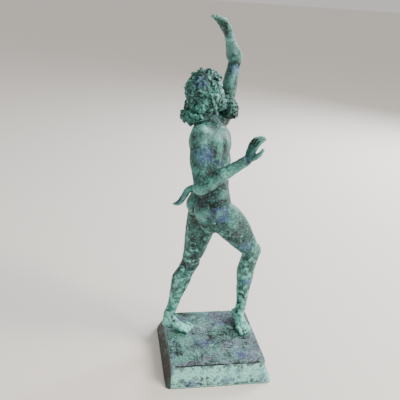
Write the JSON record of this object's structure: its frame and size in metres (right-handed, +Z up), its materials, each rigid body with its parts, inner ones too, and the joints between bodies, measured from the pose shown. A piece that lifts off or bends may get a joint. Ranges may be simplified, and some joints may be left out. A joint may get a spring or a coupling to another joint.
{
  "type": "satyr statuette",
  "caption": "Cast bronze statuette of a dancing satyr with an arm raised, on a low square plinth with sloping sides, in a green patina.",
  "frame": {"origin": "middle of the plinth's underside", "axes": "+Z up; the plinth's front face looks along -Y; the satyr steps along +X with its right side towards -Y"},
  "size_m": [0.1, 0.096, 0.321],
  "materials": {
    "verdigris_bronze": "matt verdigris patina over cast bronze, mottled green, blue and brown",
    "plinth_bronze": "matt grey-green patina over cast bronze, worn at the edges"
  },
  "bodies": {
    "root": {"satyr": "verdigris_bronze", "plinth": "plinth_bronze"}
  },
  "joints": []
}
